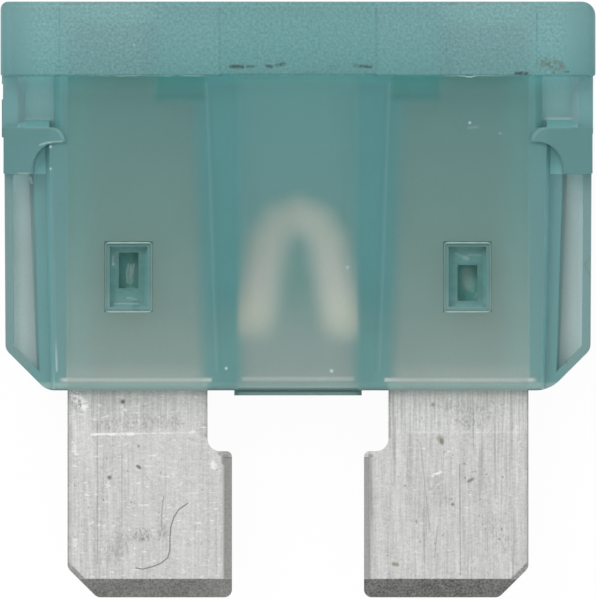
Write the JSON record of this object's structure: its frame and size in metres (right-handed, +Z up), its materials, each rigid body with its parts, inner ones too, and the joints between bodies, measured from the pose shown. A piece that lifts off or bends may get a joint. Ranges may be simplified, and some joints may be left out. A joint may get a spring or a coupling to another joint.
{
  "type": "automotive blade fuse",
  "caption": "Plug-in automotive fuse: a translucent blue-green moulded housing staked round a stamped metal strip with flat blades and an arched fuse element.",
  "frame": {"origin": "under the middle of the outline, on the plane that the back of the head lies on", "axes": "+X to the right across the blades, +Y from the blade tips to the head, +Z up out of the front face; the fuse lies on its back"},
  "size_m": [0.0192, 0.0192, 0.0051],
  "materials": {
    "tinted_plastic": "translucent blue-green moulding, glossy on the body and finely grained on the head",
    "zinc_strip": "dull pale grey zinc alloy with fine streaks along the blades"
  },
  "bodies": {
    "root": {"housing": "tinted_plastic", "fuse_strip": "zinc_strip"}
  },
  "joints": []
}
